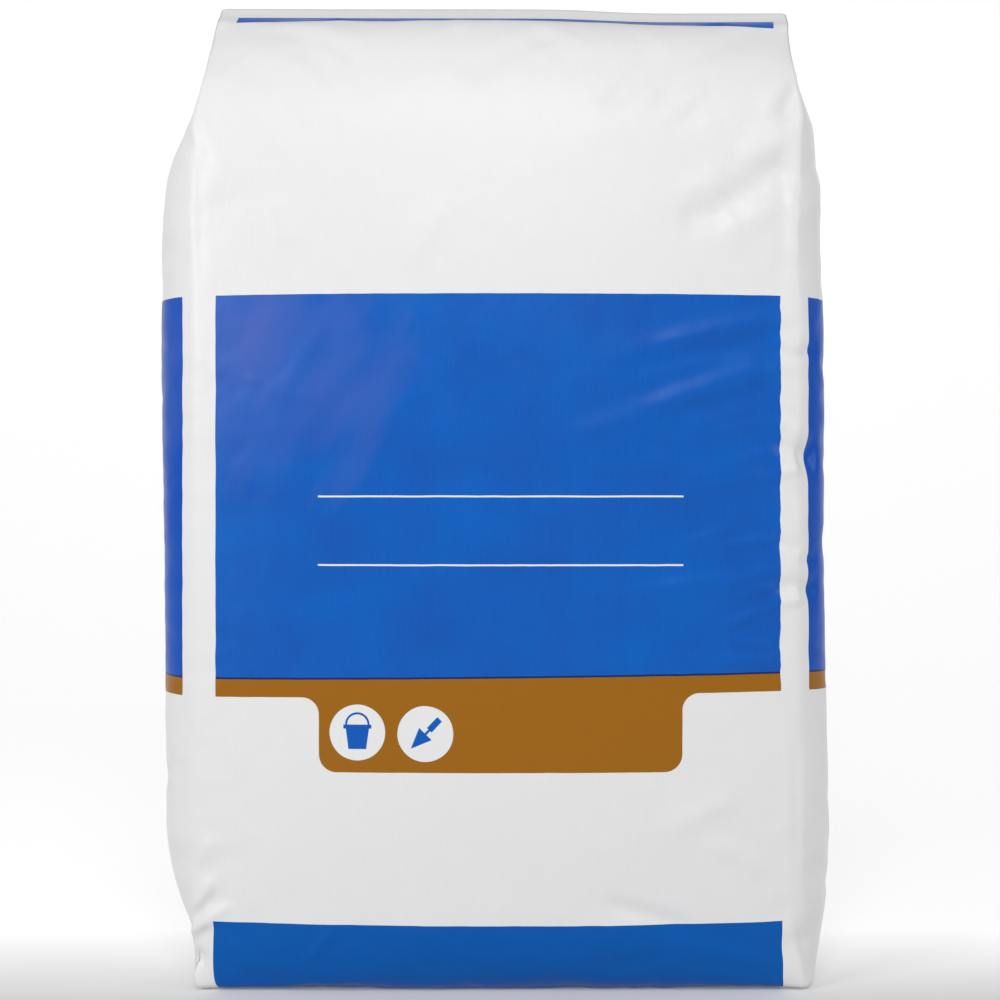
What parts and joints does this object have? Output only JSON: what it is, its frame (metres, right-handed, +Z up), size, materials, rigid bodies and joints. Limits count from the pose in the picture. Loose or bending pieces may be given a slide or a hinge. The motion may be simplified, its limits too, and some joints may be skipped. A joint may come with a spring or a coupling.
{
  "type": "cement bag",
  "caption": "Full plastic film bag of cement with side gussets and heat-sealed ends, standing upright on its folded bottom.",
  "frame": {"origin": "on the floor under the middle of the bag", "axes": "+Z up towards the sealed top, -Y out of the front panel, +X to the right seen from the front"},
  "size_m": [0.3876, 0.134, 0.568],
  "materials": {
    "printed_film": "satin white film with printed blue and ochre areas"
  },
  "bodies": {
    "root": {"film_sack": "printed_film"}
  },
  "joints": []
}
